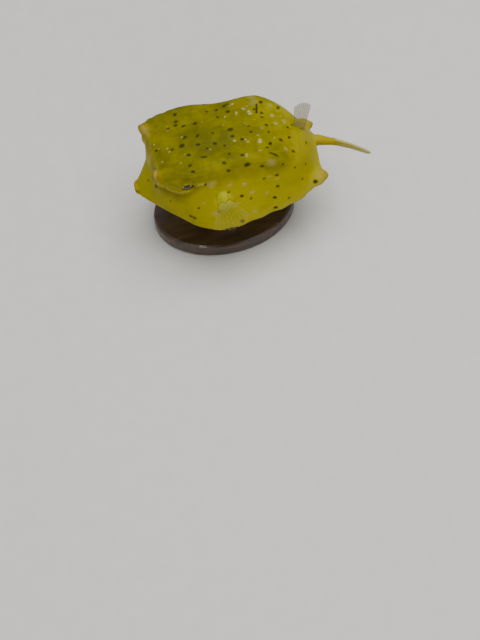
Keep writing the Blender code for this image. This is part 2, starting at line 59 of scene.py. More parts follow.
# %% The fish's own measure
SHELL_LENGTH = 0.037
PER_CENT = SHELL_LENGTH / 100
ROD_STATION = 46.0
FISH_RISE = 0.013391


def place(station, across, height):
    """A point of the fish, given in per cent of the shell's length, in the world's metres."""
    return Vector(((station - ROD_STATION) * PER_CENT, across * PER_CENT, FISH_RISE + height * PER_CENT))


def fish_measure(points):
    """World points, one in a row, as station, across and height in per cent."""
    return (points - np.array(place(0, 0, 0))) / PER_CENT


def mirrored(point, side):
    return (point[0], point[1] * side, point[2])


head_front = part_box("head")[0].x
print("the head starts at station", round((head_front - place(0, 0, 0).x) / PER_CENT, 2))

# %% [markdown]
# The camera comes next, because the markings are placed by where they fall in the picture. The
# photo looks down on the fish's left side from about 58 degrees above level, with a slight roll.
# A long lens from far off keeps the shape as flat as it is in the photo. The fish sits high in
# the picture, and the lower half is plain floor.

# %% The camera
PICTURE_WIDTH = 480
PICTURE_HEIGHT = 640
CAMERA_YAW = math.radians(8.9)
CAMERA_ELEVATION = math.radians(58.0)
CAMERA_ROLL = math.radians(-5.4)
PIXELS_PER_PER_CENT = 1.92
CAMERA_DISTANCE = 0.75
SENSOR = 36.0
SNOUT_PLACE = (0.0, 0.0, 6.0)
SNOUT_PIXEL = (134.3, 187.1)

flat_right = Vector((math.cos(CAMERA_YAW), -math.sin(CAMERA_YAW), 0))
flat_ahead = Vector((math.sin(CAMERA_YAW), math.cos(CAMERA_YAW), 0))
level_up = flat_ahead * math.sin(CAMERA_ELEVATION) + Vector((0, 0, math.cos(CAMERA_ELEVATION)))
view_right = flat_right * math.cos(CAMERA_ROLL) + level_up * math.sin(CAMERA_ROLL)
view_up = level_up * math.cos(CAMERA_ROLL) - flat_right * math.sin(CAMERA_ROLL)
view_back = view_right.cross(view_up)

metres_per_pixel = PER_CENT / PIXELS_PER_PER_CENT
right_of_snout = (PICTURE_WIDTH / 2 - SNOUT_PIXEL[0]) * metres_per_pixel
below_snout = (PICTURE_HEIGHT / 2 - SNOUT_PIXEL[1]) * metres_per_pixel
picture_middle = place(*SNOUT_PLACE) + view_right * right_of_snout - view_up * below_snout
middle_of_fish = place(50, 0, 18)
picture_middle += view_back * (middle_of_fish - picture_middle).dot(view_back)

camera = bpy.data.objects.new("camera", bpy.data.cameras.new("camera"))
bpy.context.scene.collection.objects.link(camera)
camera.data.sensor_width = SENSOR
camera.data.lens = SENSOR * CAMERA_DISTANCE / (PICTURE_HEIGHT * metres_per_pixel)
camera.data.clip_start = 0.05
camera.data.clip_end = 5.0
turned = Matrix((view_right, view_up, view_back)).transposed().to_4x4()
camera.matrix_world = Matrix.Translation(picture_middle + view_back * CAMERA_DISTANCE) @ turned
bpy.context.scene.camera = camera
print("camera", round(camera.location.z, 3), "m up, lens", round(camera.data.lens, 1), "mm")


# %% [markdown]
# To put a mark on the skin at a place in the picture, a ray is sent from the camera through that
# place until it meets the skin. The helper below gives the ray. It only uses the camera's own
# numbers above.

# %% From the picture to the fish
def ray_through(pixel):
    """Where a ray through a place in the picture starts, and the way that it runs."""
    right = (pixel[0] - PICTURE_WIDTH / 2) * metres_per_pixel
    down = (pixel[1] - PICTURE_HEIGHT / 2) * metres_per_pixel
    start = camera.matrix_world.translation
    target = picture_middle + view_right * right - view_up * down
    return start, (target - start).normalized()


print("the middle of the picture is", [round(v, 4) for v in picture_middle])

# %% [markdown]
# A live boxfish has one skin, with no seam between head, shell, lips, horns and tail stalk. The
# solid model has thin gaps there, so its fleshy nodes are copied, grown a little until the gaps
# close, and wrapped in one fine voxel skin. The skin is then shrunk by the same amount, which
# leaves the gaps healed, and smoothed.

# %% Helpers that wrap solids in one skin
FLESH = (
    "head", "trunk", "upper_lip", "lower_lip", "tail_root",
    "horn_left", "horn_right", "spine_left", "spine_right",
)
GROWTH = 0.00019
SHARPEST_CORNER = 1.6
SAME_PLACE = 1e-6
VOXEL = 0.00012


def coordinates(mesh):
    found = np.empty(len(mesh.vertices) * 3)
    mesh.vertices.foreach_get("co", found)
    return found.reshape(-1, 3)


def normals(mesh):
    found = np.empty(len(mesh.vertices) * 3)
    mesh.vertices.foreach_get("normal", found)
    return found.reshape(-1, 3)


def set_coordinates(mesh, points):
    mesh.vertices.foreach_set("co", np.ascontiguousarray(points, float).ravel())
    mesh.update()


def neighbour_mean(mesh, values, times=1, shares=(0.5,)):
    """Each vertex's value moved towards the mean of its neighbours', by each share in turn."""
    ends = np.empty(len(mesh.edges) * 2, int)
    mesh.edges.foreach_get("vertices", ends)
    a, b = ends[0::2], ends[1::2]
    count = np.bincount(ends, minlength=len(values)).astype(float)
    for turn in range(times):
        total = np.empty_like(values)
        for k in range(values.shape[1]):
            sums = np.bincount(a, values[b, k], len(values)) + np.bincount(b, values[a, k], len(values))
            total[:, k] = sums / count
        values = values + (total - values) * shares[turn % len(shares)]
    return values


def grown_copy(node):
    """The triangles of a solid node, moved out along its normals, as a bmesh."""
    work = bmesh.new()
    work.from_mesh(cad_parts[node].data)
    bmesh.ops.remove_doubles(work, verts=work.verts, dist=SAME_PLACE)
    work.normal_update()
    steps = [v.normal * GROWTH * min(v.calc_shell_factor(), SHARPEST_CORNER) for v in work.verts]
    for vertex, step in zip(work.verts, steps):
        vertex.co += step
    return work


# %% [markdown]
# The wrap itself. The grown copies go into one mesh and a voxel remesh fuses them. Plain
# smoothing would wear the horns' tips away, so each step inwards is followed by a slightly larger
# step outwards.

# %% Wrap the flesh
joined = bpy.data.meshes.new("joined")
whole = bmesh.new()
for node in FLESH:
    part = grown_copy(node)
    part.to_mesh(joined)
    part.free()
    whole.from_mesh(joined)
whole.to_mesh(joined)
whole.free()

skin = bpy.data.objects.new("skin", joined)
bpy.context.scene.collection.objects.link(skin)
wrap = skin.modifiers.new("wrap", "REMESH")
wrap.mode = "VOXEL"
wrap.voxel_size = VOXEL
wrap.use_smooth_shade = True
bpy.context.view_layer.update()
wrapped = bpy.data.meshes.new_from_object(skin.evaluated_get(bpy.context.evaluated_depsgraph_get()))
skin.modifiers.clear()
skin.data = wrapped
skin.data.name = "skin"

KEEP_SIZE = (0.60, -0.63)
STEPS_BEFORE = 20
STEPS_AFTER = 30
LAST_STEPS = 2
points = neighbour_mean(skin.data, coordinates(skin.data), STEPS_BEFORE, KEEP_SIZE)
set_coordinates(skin.data, points)
points = points - normals(skin.data) * GROWTH
points = neighbour_mean(skin.data, points, STEPS_AFTER, KEEP_SIZE)
points = neighbour_mean(skin.data, points, LAST_STEPS)
set_coordinates(skin.data, points)
print("skin:", len(skin.data.vertices), "vertices")

# %% [markdown]
# Some forms are finer than the solid model shows. Each is a line of a few places, and the skin
# moves by a soft bell round that line. Two helpers do this: one measures how near the skin is to
# a line, and one rounds the corners of a line that was given by only a few places.


# %% Helpers for lines on the skin
def near_line(at, line, reach):
    """1 on a line of places, falling smoothly to 0 at the reach, for points in per cent."""
    best = np.full(len(at), 1e9)
    for start, end in zip(line, line[1:]):
        start, end = np.array(start, float), np.array(end, float)
        along = end - start
        share = np.clip(((at - start) @ along) / max(along @ along, 1e-9), 0, 1)
        best = np.minimum(best, np.linalg.norm(at - start - share[:, None] * along, axis=1))
    share = np.clip(1 - best / reach, 0, 1)
    return share ** 2 * (3 - 2 * share)


def through(line, count=6):
    """A smoother line through the same places: each stretch leaves and arrives along its neighbours."""
    ends = [line[0], *line, line[-1]]
    found = []
    for a, b, c, d in zip(ends, ends[1:], ends[2:], ends[3:]):
        a, b, c, d = (np.array(p, float) for p in (a, b, c, d))
        for t in np.linspace(0, 1, count, endpoint=False):
            bend = (2 * a - 5 * b + 4 * c - d) * t * t + (3 * b - a - 3 * c + d) * t ** 3
            found.append(b + 0.5 * ((c - a) * t + bend))
    return found + [np.array(line[-1], float)]


rounded = through([(0, 0), (1, 0), (1, 1)], 2)
print("a corner rounded:", [[round(float(v), 2) for v in point] for point in rounded])

# %% [markdown]
# The lower lid of each eye is one long ridge that starts at the horn, dips below the eye and
# rises behind it, with a groove under it. A painted highlight runs along the lid's crest, another
# runs up from the lid along the horn's edge, and a third along the brow's top edge. They could be
# drawn on the skin in fish measure, but the photo shows them, so they are read off it as pixels
# and sent on to the skin by rays. The far side gets the mirrored lines.

# %% The lines of the lids and the brow
# The lid line shapes the ridge and also carries a painted highlight along its crest.
LID_PIXELS = (
    (158.6, 183.6), (163.0, 186.0), (168.0, 188.0), (174.3, 190.7), (181.1, 192.0), (186.8, 190.7),
    (190.8, 188.2), (193.0, 186.0), (198.0, 185.0), (205.5, 184.6),
)
GROOVE_PIXELS = (
    (156.0, 185.5), (162.0, 189.0), (168.0, 191.6), (175.5, 194.9), (184.3, 196.0), (192.5, 193.4),
    (197.0, 189.6),
)
# Painted highlights only: along the near horn's edge, and along the brow's top edge.
HORN_HIGHLIGHT_PIXELS = ((157.6, 167.5), (155.6, 171.5), (155.0, 175.6), (155.6, 180.0), (158.6, 183.3))
BROW_HIGHLIGHT_PIXELS = ((145.6, 134.0), (148.6, 139.5), (150.0, 145.6), (151.2, 154.0), (153.4, 161.5))
RAY_LENGTH = 2.0


def skin_tree():
    faces = [tuple(face.vertices) for face in skin.data.polygons]
    return BVHTree.FromPolygons([tuple(point) for point in coordinates(skin.data)], faces)


tree = skin_tree()


def on_skin(pixel):
    start, way = ray_through(pixel)
    return tree.ray_cast(start, way, RAY_LENGTH)[0]


def lines_on_skin(pixels):
    """The line through places in the picture, on the near side, and its twin on the far side."""
    found = [on_skin(pixel) for pixel in pixels]
    near = through([tuple(fish_measure(np.array([point]))[0]) for point in found if point is not None])
    return near, [mirrored(point, -1) for point in near]


LID, LID_TWIN = lines_on_skin(LID_PIXELS)
GROOVE, GROOVE_TWIN = lines_on_skin(GROOVE_PIXELS)
HORN_HIGHLIGHT, HORN_HIGHLIGHT_TWIN = lines_on_skin(HORN_HIGHLIGHT_PIXELS)
FAR_BROW_HIGHLIGHT, NEAR_BROW_HIGHLIGHT = lines_on_skin(BROW_HIGHLIGHT_PIXELS)
print("lid line", [tuple(round(float(v), 1) for v in point) for point in LID[::6]])

# %% [markdown]
# The rear spines grow out of the shell without a step. In the solid model they are cones set into
# it, so their roots are melted here: near them, and only ahead of the shell's rear end, the skin
# moves towards a much smoother copy of itself.

# %% Melt the roots of the rear spines
SPINE_ROOT = ((84.0, -17.0, 4.0), (93.0, -15.5, 6.0))
MELT_REACH = 10.0
MELT_STEPS = 120
MELT_END = 96
MELT_FADE = 3
at = fish_measure(coordinates(skin.data))
ahead_of_end = np.clip((MELT_END - at[:, 0]) / MELT_FADE, 0, 1)
melted = np.zeros(len(at))
for side in (1, -1):
    melted += near_line(at, [mirrored(p, side) for p in SPINE_ROOT], MELT_REACH) * ahead_of_end
points = coordinates(skin.data)
smoother = neighbour_mean(skin.data, points, MELT_STEPS)
set_coordinates(skin.data, points + (smoother - points) * np.clip(melted, 0, 1)[:, None])
print("vertices melted:", int((melted > 0.01).sum()))

# %% [markdown]
# Now the lids rise and their grooves sink, and the gill slits and nostrils, which the smoothing
# has softened, are pressed in again. Sculpting would do it by hand; a sum of soft bells gives the
# same with a few numbers. A few pulls then shift the lower lid and fill the spines' roots to the
# outline that the photo shows.

# %% Press fine forms into the skin
GILL_SLIT = ((38.5, -26.6, 22.8), (38.4, -28.2, 19.0), (38.2, -29.8, 15.2))
NOSTRIL = ((13.6, -16.3, 29.6), (13.4, -16.5, 29.2))
LID_RISE, LID_WIDTH = 0.45, 1.4
GROOVE_DEPTH, GROOVE_WIDTH = 0.50, 2.6
GILL_DEPTH, GILL_WIDTH = 0.7, 0.9
NOSTRIL_RISE, NOSTRIL_RIM = 0.3, 2.0
NOSTRIL_DEPTH, NOSTRIL_WIDTH = 1.2, 0.9
LID_REACH = 3.4
SPINE_REACH = 5.0
PULLS = (
    ((24.2, -23.2, 27.4), (0.0, 0.2, -0.6), LID_REACH),
    ((27.8, -22.6, 29.8), (0.5, 0.1, -0.1), LID_REACH),
    ((90.5, -22.0, 1.6), (0.0, -1.1, 0.0), SPINE_REACH),
    ((95.5, -19.8, 2.4), (0.2, -1.2, 0.0), SPINE_REACH),
    ((97.4, -15.5, 4.6), (0.7, 0.0, 0.7), SPINE_REACH),
)
SETTLING_STEPS = 3
at = fish_measure(coordinates(skin.data))
rise = np.zeros(len(at))
for lid_line, groove_line in ((LID, GROOVE), (LID_TWIN, GROOVE_TWIN)):
    rise += LID_RISE * near_line(at, lid_line, LID_WIDTH)
    rise -= GROOVE_DEPTH * near_line(at, groove_line, GROOVE_WIDTH)
for side in (1, -1):
    nostril = [mirrored(p, side) for p in NOSTRIL]
    rise -= GILL_DEPTH * near_line(at, [mirrored(p, side) for p in GILL_SLIT], GILL_WIDTH)
    rise += NOSTRIL_RISE * near_line(at, nostril, NOSTRIL_RIM)
    rise -= NOSTRIL_DEPTH * near_line(at, nostril, NOSTRIL_WIDTH)
moved = normals(skin.data) * rise[:, None]
for side in (1, -1):
    for spot, pull, reach in PULLS:
        nearness = near_line(at, [mirrored(spot, side)] * 2, reach)
        moved += nearness[:, None] * np.array(mirrored(pull, side))
set_coordinates(skin.data, coordinates(skin.data) + moved * PER_CENT)
set_coordinates(skin.data, neighbour_mean(skin.data, coordinates(skin.data), SETTLING_STEPS))
print("fine forms pressed in, from", round(rise.min(), 2), "to", round(rise.max(), 2), "per cent")

# %% [markdown]
# Shader maths reads best as plain sums, so a small class wraps a shader socket and gives it the
# usual operators. Any other node is made by one method that takes its type, settings and inputs.


# %% Shader maths as plain sums
class Sum:
    """A shader socket, or a number, that can be added to and multiplied like a plain number."""

    def __init__(self, tree, socket):
        self.tree = tree
        self.socket = socket

    def node(self, kind, settings=None, inputs=None, output=0):
        made = self.tree.nodes.new(kind)
        for key, value in (settings or {}).items():
            setattr(made, key, value)
        for key, value in (inputs or {}).items():
            if isinstance(value, Sum):
                self.tree.links.new(value.socket, made.inputs[key])
            else:
                made.inputs[key].default_value = value
        return Sum(self.tree, made.outputs[output])

    def maths(self, operation, *values):
        return self.node("ShaderNodeMath", {"operation": operation}, dict(enumerate(values)))

    def __add__(self, other):
        return self.maths("ADD", self, other)

    __radd__ = __add__

    def __sub__(self, other):
        return self.maths("SUBTRACT", self, other)

    def __rsub__(self, other):
        return self.maths("SUBTRACT", other, self)

    def __mul__(self, other):
        return self.maths("MULTIPLY", self, other)

    __rmul__ = __mul__

    def between(self, low, high, start=0.0, end=1.0):
        """This value's smooth passage from start to end as it goes from low to high."""
        settings = {"interpolation_type": "SMOOTHSTEP"}
        values = {"Value": self, "From Min": low, "From Max": high, "To Min": start, "To Max": end}
        return self.node("ShaderNodeMapRange", settings, values)

    def mix(self, low, high):
        """A colour between two colours, by this value as the share of the second."""
        settings = {"data_type": "RGBA", "clamp_factor": True}
        return self.node("ShaderNodeMix", settings, {0: self, 6: low, 7: high}, output=2)

    def noise(self, where, scale, detail=2.0, roughness=0.5):
        values = {"Vector": where, "Scale": scale, "Detail": detail, "Roughness": roughness}
        return self.node("ShaderNodeTexNoise", {}, values)

    def attribute(self, name, output=2):
        return self.node("ShaderNodeAttribute", {"attribute_name": name}, output=output)


def colour(red, green, blue):
    return (red, green, blue, 1.0)


def new_material(name):
    """A fresh material, with its first sum to build from and its Principled shader."""
    made = bpy.data.materials.new(name)
    made.use_nodes = True
    shader = made.node_tree.nodes["Principled BSDF"]
    return made, Sum(made.node_tree, None), shader


def feed(shader, name, value):
    """Links a sum to one of the shader's sockets, or sets the socket to a constant."""
    if isinstance(value, Sum):
        value.tree.links.new(value.socket, shader.inputs[name])
    else:
        shader.inputs[name].default_value = value


def bump(height, strength, distance):
    values = {"Height": height, "Strength": strength, "Distance": distance}
    return height.node("ShaderNodeBump", {}, values)


print("shader helpers are ready")

# %% [markdown]
# The fish's marks were read from the photo, as places in the picture: small dark dots, larger
# soft pale flecks, small pale specks that are partly painted glints, and a few broad clouds of
# painted shade and painted light where the skin looks darker or lighter. They are listed as pixel
# places in an enlarged crop, so a crop corner and a factor turn them back into the picture's own
# pixels. Each has a radius in per cent, because some dots are plainly bigger.

# %% The marks, as places in the picture
CROP_CORNER = (125.0, 85.0)
CROP_FACTOR = 7.0
TINY, SMALL, MIDDLE, BIG = 0.44, 0.62, 0.85, 1.15
DOTS = {
    SMALL: (
        (302, 307), (572, 186), (647, 225), (713, 134), (614, 336), (330, 452), (219, 460),
        (575, 444), (697, 424), (729, 483), (863, 286), (881, 328), (960, 224), (1006, 328),
        (995, 437), (1167, 278), (1138, 295), (1104, 555), (1190, 578), (974, 655), (1242, 657),
        (1147, 790), (563, 697), (517, 862), (317, 811), (163, 668), (280, 722), (1070, 165),
        (660, 885), (1265, 552), (725, 750), (883, 793),
    ),
    MIDDLE: (
        (350, 204), (356, 257), (408, 288), (490, 270), (720, 187), (418, 366), (507, 355),
        (752, 358), (512, 417), (629, 409), (446, 490), (693, 545), (820, 380), (821, 490),
        (455, 564), (476, 607), (990, 280), (950, 120), (1017, 410), (1090, 384), (1149, 367),
        (1178, 464), (1267, 404), (960, 568), (1064, 631), (1070, 708), (818, 777), (1049, 787),
        (1055, 857), (725, 600), (460, 918), (486, 930),
    ),
    BIG: ((737, 311), (398, 426), (855, 558), (1333, 676), (823, 953), (215, 710)),
}
STROKES = (
    ((920, 135), (921, 165), (920, 195)),
    ((1020, 475), (1043, 484), (1068, 497)),
    ((540, 506), (566, 503)),
)
# Pale specks, partly the skin's own and partly painted glints.
SPECKS_AND_GLINTS = {
    TINY: (
        (688, 280), (838, 268), (857, 282), (907, 243), (596, 450), (420, 486), (392, 546),
        (205, 418), (300, 318), (398, 366), (235, 447), (310, 468), (262, 538), (853, 500),
        (1128, 447), (1036, 410), (780, 204), (1116, 262), (1090, 220), (930, 350), (843, 382),
        (700, 222), (1045, 370),
    ),
    SMALL: (
        (766, 390), (860, 396), (852, 148), (866, 184), (869, 200), (780, 192), (1030, 212),
        (1055, 270), (296, 445), (853, 486), (945, 382), (835, 690),
    ),
    MIDDLE: ((945, 458), (944, 398)),
}
SOFT, WIDE = 1.7, 3.2
FLECKS = {
    SOFT: (
        (836, 695), (890, 752), (996, 752), (908, 883), (550, 828), (618, 690), (604, 715),
        (1030, 215), (1056, 268), (1112, 250), (1128, 447), (945, 390), (867, 190), (780, 832),
        (735, 700), (1068, 655), (700, 880), (1010, 640), (960, 300),
    ),
    WIDE: ((1026, 545), (905, 120), (610, 690), (640, 900)),
}
# Painted shade: clouds that darken the skin where it lies in shade.
PAINTED_SHADE_CLOUDS = {
    10.0: ((399, 595), (520, 330)),
    8.0: ((455, 427), (1090, 560), (560, 450), (280, 420)),
    6.0: ((290, 757), (365, 790), (280, 560)),
    5.5: ((791, 322), (336, 147), (250, 330), (700, 380)),
}
# Painted light: clouds that lighten the skin where it is more lit.
PAINTED_LIGHT_CLOUDS = {
    9.0: ((679, 616), (833, 600)),
    8.0: ((890, 500), (930, 240)),
    6.0: ((441, 130), (600, 115), (700, 90), (300, 400)),
}
# Painted light: pale clouds on the forehead, which the lamps leave in shade.
PAINTED_PALE_LIGHT_CLOUDS = {
    5.0: ((120, 330), (130, 400), (145, 470), (165, 530)),
}


def from_crop(place_in_crop):
    return tuple(CROP_CORNER[i] + place_in_crop[i] / CROP_FACTOR for i in range(2))


print(sum(len(v) for v in DOTS.values()), "dots,", sum(len(v) for v in FLECKS.values()), "flecks")

# %% [markdown]
# Each mark is sent on to the skin with its ray, and then mirrored to the far side, where the
# photo shows nothing, if it lies on a side and not on the back. A painter would turn the far
# side's pattern a little so that the two sides aren't the same, and so does this: the mirrored
# marks are shifted by a small seeded amount.

# %% Send the marks on to the skin
tree = skin_tree()
chance = np.random.default_rng(7)
MIRROR_FROM = 9.0
MIRROR_SHIFT = 1.6


def laid_marks(groups):
    """Places on the skin with their radii in per cent, the visible ones and the far side's."""
    laid = []
    for radius, spots in groups.items():
        for spot in spots:
            found = on_skin(from_crop(spot))
            if found is None:
                continue
            laid.append((found, radius))
            across = fish_measure(np.array([found]))[0, 1]
            if across < -MIRROR_FROM:
                shift = Vector(chance.normal(0, MIRROR_SHIFT * PER_CENT, 3))
                twin = Vector((found.x, -found.y, found.z)) + shift
                laid.append((tree.find_nearest(twin)[0], radius))
    return laid


def laid_strokes(lines, radius, steps=7):
    """Strokes as rows of small overlapping dots on the skin."""
    laid = []
    for line in lines:
        for start, end in zip(line, line[1:]):
            for share in np.linspace(0, 1, steps):
                spot = [start[i] + (end[i] - start[i]) * share for i in range(2)]
                found = on_skin(from_crop(spot))
                if found is not None:
                    laid.append((found, radius))
    return laid


STROKE_RADIUS = SMALL * 0.8
dots = laid_marks(DOTS) + laid_strokes(STROKES, STROKE_RADIUS)
flecks = laid_marks(FLECKS)
specks_and_glints = laid_marks(SPECKS_AND_GLINTS)
painted_shade_clouds = laid_marks(PAINTED_SHADE_CLOUDS)
painted_light_clouds = laid_marks(PAINTED_LIGHT_CLOUDS)
painted_pale_light_clouds = laid_marks(PAINTED_PALE_LIGHT_CLOUDS)
print(len(dots), "dots,", len(flecks), "flecks and", len(specks_and_glints), "sparks laid on the skin")

# %% [markdown]
# The marks become one number for each vertex of the skin: 1 in the middle of a mark, falling off
# softly at its edge. No two marks are quite alike, as each is drawn out and weakened by a small
# seeded amount.


# %% Paint values on the skin
LONGEST_STRETCH = 1.6
STRETCH_WANDER = 0.35


def marks_on(mesh, marks, edge, wobble, uneven):
    """How strongly any mark covers each vertex. The edge is the share of the radius that fades.

    Each mark is drawn out a little along the fish, or a little off that, as the wobble says. Uneven
    marks differ in strength, by up to the share given.
    """
    value = np.zeros(len(mesh.vertices))
    at = coordinates(mesh)
    search = KDTree(len(at))
    for i, point in enumerate(at):
        search.insert(point, i)
    search.balance()
    for middle, radius in marks:
        stretch = (Vector((1, 0, 0)) + Vector(chance.normal(0, STRETCH_WANDER, 3))).normalized()
        reach = radius * PER_CENT
        strength = 1 - uneven * chance.random()
        for co, index, gap in search.find_range(middle, reach * LONGEST_STRETCH):
            along = abs((co - middle).normalized().dot(stretch))
            share = min(max((1 - gap * (1 - wobble * along) / reach) / edge, 0), 1)
            value[index] = max(value[index], strength * share * share * (3 - 2 * share))
    return value


def store(mesh, name, values):
    layer = mesh.attributes.new(name, "FLOAT", "POINT")
    layer.data.foreach_set("value", np.asarray(values, np.float32))


DOT_GROWTH = 1.28
grown_dots = [(spot, radius * DOT_GROWTH) for spot, radius in dots]
for name, marks, edge, wobble, uneven in (
    ("dots", grown_dots, 0.66, 0.36, 0.15), ("specks_and_glints", specks_and_glints, 0.9, 0.45, 0.7),
    ("flecks", flecks, 1.0, 0.3, 0.5), ("painted_shade_clouds", painted_shade_clouds, 1.0, 0.3, 0.0),
    ("painted_light_clouds", painted_light_clouds, 1.0, 0.3, 0.0), ("painted_pale_light_clouds", painted_pale_light_clouds, 1.0, 0.3, 0.0),
):
    store(skin.data, name, marks_on(skin.data, marks, edge, wobble, uneven))
    print(name, "painted")

# %% [markdown]
# Broad tints follow the body: the darker back, the pale belly, a pale painted sheen on the stern,
# the yellow stalk of the tail, and the orange at the tips of the horns, the spines and the snout.
# The keel is the sharp lower edge of the shell. Its line is given by a few places, and the pale rim
# is what lies close to it. Each tint is one number for each vertex, made from its station and
# height.

# %% Tints that follow the body
KEEL = (
    (6, -9.4, 2.8), (13, -16.4, 2.5), (19.5, -23.3, 2.4), (26, -29.8, 2.3), (32.5, -34.2, 2.3),
    (39, -36.2, 2.3), (45, -36.4, 2.3), (53, -35.4, 2.2), (60, -33.8, 2.0), (68, -32.0, 1.8),
    (74, -30.6, 1.5), (81, -28.4, 1.0), (87, -25.0, 0.5), (92, -21.3, 0.8), (96, -19.2, 1.4),
    (99.7, -17.6, 2.0),
)
TIPS = ((8.1, -15.9, 36.6), (99.7, -17.5, 2.2))
TIP_REACH = 7.0
SNOUT_TIP = (0.5, 0, 6)
SNOUT_REACH = 6.5
RIM_WIDTH = 1.5
SKIRT_WIDTH = 8.0


def ramp(values, first, length):
    """0 up to the first value, then rising evenly to 1 over the length; falling if it's negative."""
    return np.clip((values - first) / length, 0, 1)


def distance(spot):
    return np.linalg.norm(at - np.array(spot), axis=1)


at = fish_measure(coordinates(skin.data))
station, height = at[:, 0], at[:, 2]
nothing = np.zeros(len(at))
tints = {
    "back": ramp(height, 24, 12),
    "under": ramp(height, 1.5, -4),
    # A pale painted sheen on the stern.
    "stern_sheen": ramp(station, 91, 5) * ramp(station, 99, -2),
    "stalk": ramp(station, 97, 3) * ramp(height, 6, 2),
    "snout": ramp(distance(SNOUT_TIP), SNOUT_REACH, -SNOUT_REACH),
}
rim, skirt, tips = nothing, nothing, nothing
for side in (1, -1):
    keel_line = [mirrored(p, side) for p in KEEL]
    rim = np.maximum(rim, near_line(at, keel_line, RIM_WIDTH))
    skirt = np.maximum(skirt, near_line(at, keel_line, SKIRT_WIDTH))
    for tip in TIPS:
        tips = np.maximum(tips, ramp(distance(mirrored(tip, side)), TIP_REACH, -TIP_REACH))
tints["rim"] = rim * ramp(station, 4, 14)
tints["skirt"] = skirt * ramp(station, 42, 24)
tints["tips"] = tips
for name, values in tints.items():
    store(skin.data, name, values)
print("body tints:", ", ".join(tints))

# %% [markdown]
# Narrow tints follow the fine forms: a painted highlight along each lid's crest, painted shade in
# the grooves under them, painted highlights along the horns' edges and the brow's top edge,
# painted shade in the gill slits and nostrils, and the bright lobe that each pectoral fin fans
# from. Where a line shaped a form, its tint uses the same line, so that colour and shape agree.

# %% Tints that follow the fine forms
LOBE_PLACE = (42.0, -29.0, 19.0)
LOBE_SPREAD = (4.6, 5.0, 4.6)
LOBE_EDGE = 1.3
SLIT_SHADE_WIDTH = 0.8
# Widths and strengths of the painted highlights on the lids, horns and brow, and the width of the
# grooves' painted shade.
LID_HIGHLIGHT_WIDTH, GROOVE_TINT = 1.1, 2.8
HORN_HIGHLIGHT_WIDTH, BROW_HIGHLIGHT_WIDTH = 1.2, 2.4
FAR_HORN_HIGHLIGHT_SHARE = 0.4
BROW_HIGHLIGHT_SHARE = 0.25
lobe, lid, groove, edge_highlight, slit = [nothing] * 5
for side in (1, -1):
    away = (at - np.array(mirrored(LOBE_PLACE, side))) / np.array(LOBE_SPREAD)
    lobe = np.maximum(lobe, ramp(np.linalg.norm(away, axis=1), LOBE_EDGE, -1))
    # Painted shade inside the gill slits and nostrils.
    for line in (GILL_SLIT, NOSTRIL):
        slit = np.maximum(slit, near_line(at, [mirrored(p, side) for p in line], SLIT_SHADE_WIDTH))
# Painted highlights along the lids, the horns' edges and the brow's top edge, and painted shade in the
# grooves.
for lid_line, groove_line, horn_highlight_line, horn_highlight_share, brow_highlight_line in (
    (LID, GROOVE, HORN_HIGHLIGHT, 1.0, NEAR_BROW_HIGHLIGHT), (LID_TWIN, GROOVE_TWIN, HORN_HIGHLIGHT_TWIN, FAR_HORN_HIGHLIGHT_SHARE, FAR_BROW_HIGHLIGHT),
):
    lid = np.maximum(lid, near_line(at, lid_line, LID_HIGHLIGHT_WIDTH))
    groove = np.maximum(groove, near_line(at, groove_line, GROOVE_TINT))
    edge_highlight = np.maximum(edge_highlight, horn_highlight_share * near_line(at, horn_highlight_line, HORN_HIGHLIGHT_WIDTH))
    edge_highlight = np.maximum(edge_highlight, BROW_HIGHLIGHT_SHARE * near_line(at, brow_highlight_line, BROW_HIGHLIGHT_WIDTH))
fine_tints = {"lobe": lobe, "lid": lid, "groove": groove, "edge_highlight": edge_highlight, "slit": slit}
for name, values in fine_tints.items():
    store(skin.data, name, values)
print("fine tints painted")

# %% [markdown]
# The skin's colour starts from olive yellow. The back is darker and greener, the lower side is
# brighter. Slow noise mottles both, and soft clouds of painted shade and painted light darken and
# lighten the places where the photo shows them. The marks and tints go on last. The sheen is
# faint, and a fine bump gives the grain of the plates under the skin.

# %% The skin's colours
YELLOW = colour(0.230, 0.195, 0.0004)
OLIVE = colour(0.098, 0.092, 0.0002)
BRIGHT = colour(0.300, 0.255, 0.0006)
# Pale is the belly's and the keel rim's own colour, and also the painted highlight along the lids.
PALE = colour(0.50, 0.40, 0.10)
ORANGE = colour(0.33, 0.15, 0.004)
AMBER = colour(0.34, 0.235, 0.004)
LOBE = colour(0.46, 0.45, 0.008)
# Pink of the painted highlights along the horns' edges and the brow's top edge.
HIGHLIGHT_PINK = colour(0.44, 0.34, 0.17)
SHADE = colour(0.10, 0.062, 0.001)
# The painted shade in the gill slits and nostrils.
SLIT_SHADE = colour(0.035, 0.024, 0.001)
DOT = colour(0.020, 0.016, 0.0012)
# Colours of the painted shade and the painted light in the clouds.
PAINTED_SHADE_OLIVE = colour(0.070, 0.066, 0.0002)
PAINTED_LIGHT_YELLOW = colour(0.26, 0.22, 0.0006)
PAINTED_LIGHT_BUFF = colour(0.50, 0.40, 0.07)
FLECK = colour(0.40, 0.33, 0.13)
# Colour of the pale specks, which are partly painted glints.
SPECK_AND_GLINT = colour(0.52, 0.50, 0.28)
STREAK_SHARE = 0.25
# Under the rim, the dark clouds are painted shade, the light and pale clouds are painted light, and the
# stern's tint is a pale painted sheen.
UNDER_RIM = (
    ("painted_shade_clouds", 0.42, PAINTED_SHADE_OLIVE), ("painted_light_clouds", 0.4, PAINTED_LIGHT_YELLOW), ("painted_pale_light_clouds", 0.42, PAINTED_LIGHT_BUFF),
    ("stern_sheen", 0.12, FLECK), ("skirt", 0.12, FLECK), ("flecks", 0.42, FLECK),
)
